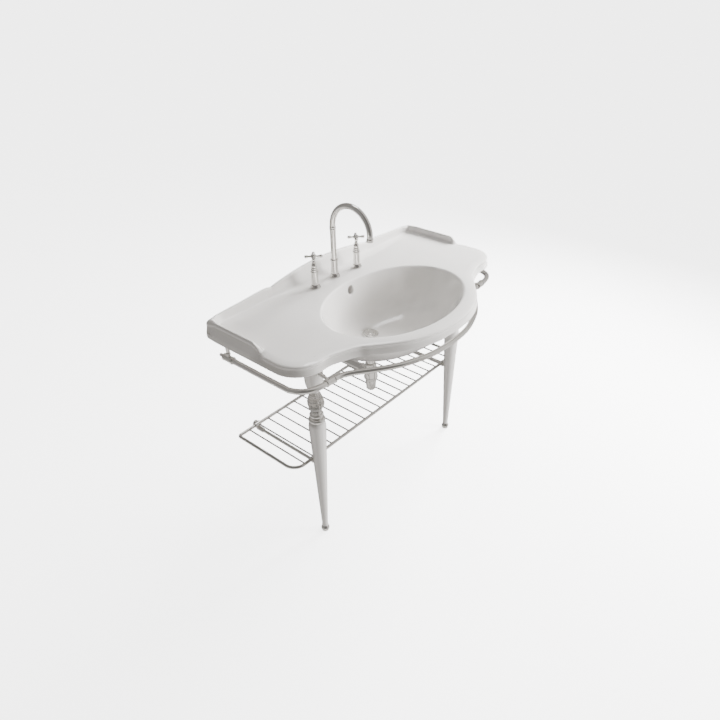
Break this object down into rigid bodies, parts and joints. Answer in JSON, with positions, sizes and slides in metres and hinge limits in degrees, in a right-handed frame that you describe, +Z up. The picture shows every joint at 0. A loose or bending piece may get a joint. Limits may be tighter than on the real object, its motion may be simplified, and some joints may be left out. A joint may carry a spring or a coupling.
{
  "type": "console wash basin",
  "caption": "Wide ceramic console basin on turned front legs, with cross-handle taps, swan-neck spout, towel rail, wire shelf and bottle trap.",
  "frame": {"origin": "on the floor, under the middle of the object's overall box: midway between the wall plane and the front of the basin", "axes": "+Z up, +Y into the wall, +X to the right as seen by someone at the basin"},
  "size_m": [1.112, 0.625, 1.1344],
  "materials": {
    "basin_glaze": "gloss glaze",
    "leg_glaze": "gloss glaze",
    "nickel": "polished warm nickel plate",
    "index_cap": "gloss glaze",
    "brass": "turned, unpolished",
    "rubber": "matt"
  },
  "bodies": {
    "stand": {"basin": "basin_glaze", "left_front_bracket": "nickel", "left_leg_capital": "leg_glaze", "left_leg_collar": "nickel", "left_leg_foot": "nickel", "left_leg_shaft": "leg_glaze", "left_leg_vase": "nickel", "left_rear_bracket": "nickel", "left_shelf_arm": "nickel", "left_shelf_clamp": "nickel", "left_shelf_wall_bracket": "nickel", "left_tap_backnut": "brass", "left_tap_bonnet": "nickel", "left_tap_flange": "nickel", "left_tap_valve": "nickel", "left_tap_washer": "rubber", "left_wall_bolt": "brass", "right_front_bracket": "nickel", "right_leg_capital": "leg_glaze", "right_leg_collar": "nickel", "right_leg_foot": "nickel", "right_leg_shaft": "leg_glaze", "right_leg_vase": "nickel", "right_rear_bracket": "nickel", "right_shelf_arm": "nickel", "right_shelf_clamp": "nickel", "right_shelf_wall_bracket": "nickel", "right_tap_backnut": "brass", "right_tap_bonnet": "nickel", "right_tap_flange": "nickel", "right_tap_valve": "nickel", "right_tap_washer": "rubber", "right_wall_bolt": "brass", "shelf_rack": "nickel", "spout_backnut": "brass", "spout_body": "nickel", "spout_flange": "nickel", "spout_washer": "rubber", "tailpiece": "nickel", "towel_rail": "nickel", "trap_body": "nickel", "trap_cup": "nickel", "trap_inlet_nut": "nickel", "trap_outlet_pipe": "nickel", "wall_escutcheon": "nickel", "waste_backnut": "brass", "waste_flange": "nickel", "waste_gasket": "rubber"},
    "left_handle": {"left_tap_handle": "nickel", "left_tap_cap": "index_cap", "left_tap_spindle": "brass"},
    "right_handle": {"right_tap_handle": "nickel", "right_tap_cap": "index_cap", "right_tap_spindle": "brass"},
    "spout": {"spout_tube": "nickel", "spout_ring": "nickel", "spout_aerator": "nickel"},
    "plug": {"waste_plug": "nickel"}
  },
  "joints": [
    {"name": "left_tap_turn", "type": "hinge", "parent": "stand", "child": "left_handle", "pos_m": [-0.1137, 0.2275, 0.96], "axis": [0, 0, 1], "range_deg": [0, 90]},
    {"name": "right_tap_turn", "type": "hinge", "parent": "stand", "child": "right_handle", "pos_m": [0.1137, 0.2275, 0.96], "axis": [0, 0, 1], "range_deg": [-90, 0]},
    {"name": "spout_swivel", "type": "hinge", "parent": "stand", "child": "spout", "pos_m": [0, 0.2365, 0.95], "axis": [0, 0, 1], "range_deg": [-60, 60]},
    {"name": "plug_lift", "type": "slide", "parent": "stand", "child": "plug", "axis": [0, 0, 1], "range_m": [0, 0.008]}
  ]
}
